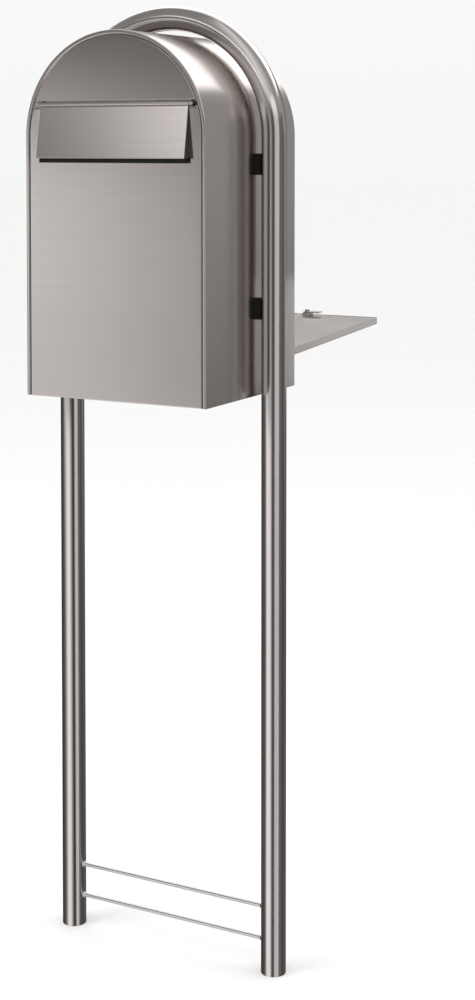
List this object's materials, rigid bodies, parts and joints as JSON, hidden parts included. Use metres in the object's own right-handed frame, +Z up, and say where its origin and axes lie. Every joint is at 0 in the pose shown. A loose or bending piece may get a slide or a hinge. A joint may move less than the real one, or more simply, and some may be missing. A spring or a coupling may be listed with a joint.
{
  "type": "stand mounted mailbox",
  "caption": "Round-topped satin steel mailbox held between the legs of an inverted-U tube stand, with a hinged letter flap in front and a lockable fold-down door at the rear.",
  "frame": {"origin": "ground level, midway between the two legs, in the plane of the stand", "axes": "+X across the front, towards the right-hand leg seen from the front; +Y from the letter slot to the rear door; +Z up"},
  "size_m": [0.4, 0.6784, 1.4698],
  "materials": {
    "satin_sheet": "satin brushed stainless sheet",
    "satin_tube": "satin stainless tube, brushed along its length",
    "drawn_rod": "plain drawn stainless rod",
    "plated_steel": "bright zinc plated",
    "lock_chrome": "nickel plated, polished",
    "black_plastic": "moulded, fine texture",
    "black_rubber": "moulded, matt",
    "bush_nylon": "moulded, smooth"
  },
  "bodies": {
    "stand_and_box": {"stand_tube": "satin_tube", "anchor_rod_lower": "drawn_rod", "anchor_rod_upper": "drawn_rod", "rivet_nuts": "plated_steel", "stand_bolts": "plated_steel", "stand_washers": "plated_steel", "spacer_left_upper": "black_rubber", "spacer_left_lower": "black_rubber", "spacer_right_upper": "black_rubber", "spacer_right_lower": "black_rubber", "shell_wrap": "satin_sheet", "bottom_plate": "satin_sheet", "front_panel": "satin_sheet", "front_dome_panel": "satin_sheet", "hinge_channel": "satin_sheet", "slot_frame": "black_plastic", "slot_frame_screws": "plated_steel", "flap_bumpers": "black_rubber", "flap_rod": "drawn_rod", "flap_bracket_left": "satin_sheet", "flap_bracket_right": "satin_sheet", "flap_rod_clips": "plated_steel", "rear_panel": "satin_sheet", "hinge_bush_left": "bush_nylon", "hinge_bush_right": "bush_nylon", "door_stop_left": "satin_sheet", "door_stop_right": "satin_sheet", "door_stop_pads": "black_rubber"},
    "door": {"door_skin": "satin_sheet", "door_liner": "satin_sheet", "door_pin_left": "drawn_rod", "door_pin_right": "drawn_rod", "lock_housing": "lock_chrome", "lock_nut": "lock_chrome"},
    "lock_core": {"lock_plug": "lock_chrome", "lock_cam": "plated_steel", "cam_screw": "plated_steel"},
    "flap": {"slot_flap": "satin_sheet"}
  },
  "joints": [
    {"name": "door_hinge", "type": "hinge", "parent": "stand_and_box", "child": "door", "pos_m": [0, 0.1165, 0.923], "axis": [1, 0, 0], "range_deg": [0, 86.5]},
    {"name": "lock_turn", "type": "hinge", "parent": "door", "child": "lock_core", "pos_m": [0, 0.48448, 0.93949], "axis": [0, -0.061, 0.9981], "range_deg": [0, 90]},
    {"name": "flap_hinge", "type": "hinge", "parent": "stand_and_box", "child": "flap", "pos_m": [0, -0.1585, 1.3165], "axis": [-1, 0, 0], "range_deg": [0, 70]}
  ]
}
